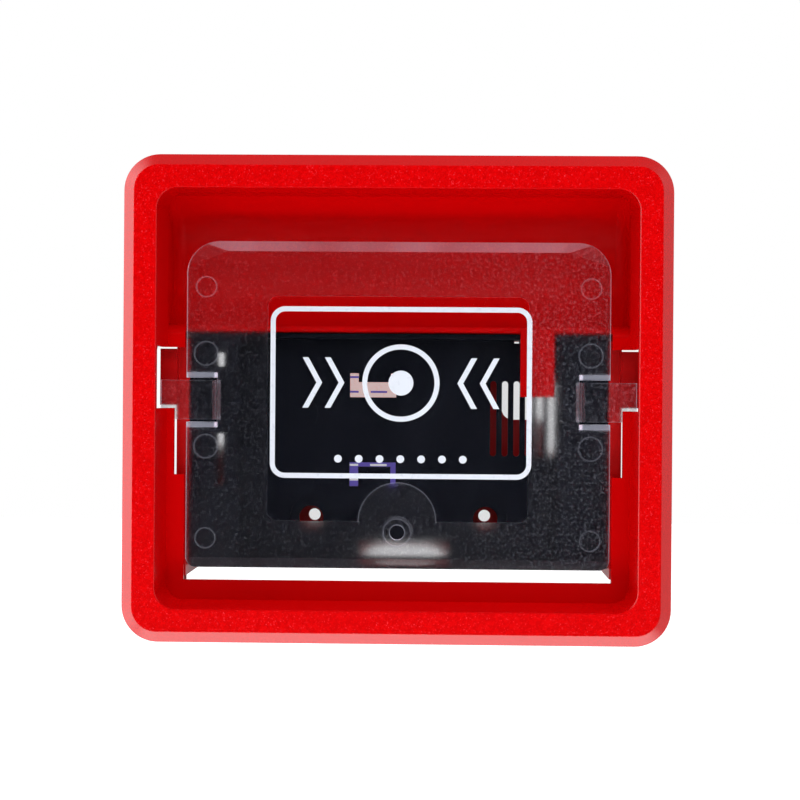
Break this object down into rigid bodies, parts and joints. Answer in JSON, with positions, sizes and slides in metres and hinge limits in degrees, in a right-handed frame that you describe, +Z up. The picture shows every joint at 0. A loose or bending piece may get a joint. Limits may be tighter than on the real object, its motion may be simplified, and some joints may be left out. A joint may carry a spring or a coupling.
{
  "type": "emergency key box",
  "caption": "Wall box for an emergency key: red cover and case, clear panel pulled out at its top edge in a finger pocket, and a black key plate with hooks, slots and a switch behind.",
  "frame": {"origin": "middle of the wall face, at the middle of the cover's width and height", "axes": "+X to the right, +Y into the wall, +Z up; the front looks along -Y"},
  "size_m": [0.181, 0.055, 0.161],
  "materials": {
    "red_plastic": "fine texture on the front band and glossy elsewhere",
    "black_plastic": "satin",
    "clear_plastic": "clear, polished in the middle and finely frosted around",
    "white_print": "screen print",
    "label": "plain label",
    "steel": "zinc plated",
    "spring_steel": "rolled",
    "brass": "rolled",
    "switch_body": "satin",
    "switch_button": "satin"
  },
  "bodies": {
    "case": {"front_cover": "red_plastic", "rear_case": "red_plastic", "case_guides": "red_plastic", "key_plate": "black_plastic", "inner_label": "label", "case_screws": "steel", "plate_screws": "steel", "switch_case": "switch_body", "switch_cover": "switch_body", "switch_blade": "brass", "switch_terminals": "brass", "switch_screws": "steel", "lever_pin": "steel"},
    "panel": {"clear_panel": "clear_plastic", "panel_print": "white_print"},
    "slider": {"switch_slider": "black_plastic"},
    "lever": {"switch_lever": "spring_steel"},
    "plunger": {"switch_plunger": "switch_button"}
  },
  "joints": [
    {"name": "panel_tilt", "type": "hinge", "parent": "case", "child": "panel", "pos_m": [0, -0.0339, -0.00335], "axis": [1, 0, 0], "range_deg": [0, 7.8]},
    {"name": "slider_travel", "type": "slide", "parent": "case", "child": "slider", "axis": [0, -1, 0], "range_m": [0, 0.00088]},
    {"name": "lever_swing", "type": "hinge", "parent": "case", "child": "lever", "pos_m": [-0.0608, -0.021, -0.0096], "axis": [1, 0, 0], "range_deg": [0, 3.7]},
    {"name": "plunger_travel", "type": "slide", "parent": "case", "child": "plunger", "axis": [0, -1, 0], "range_m": [0, 0.0005]}
  ],
  "couplings": [
    {"joint": "slider_travel", "follows": "panel_tilt", "m_per_rad": 0.00635},
    {"joint": "lever_swing", "follows": "panel_tilt", "ratio": 0.4669},
    {"joint": "plunger_travel", "follows": "panel_tilt", "m_per_rad": 0.003548}
  ]
}
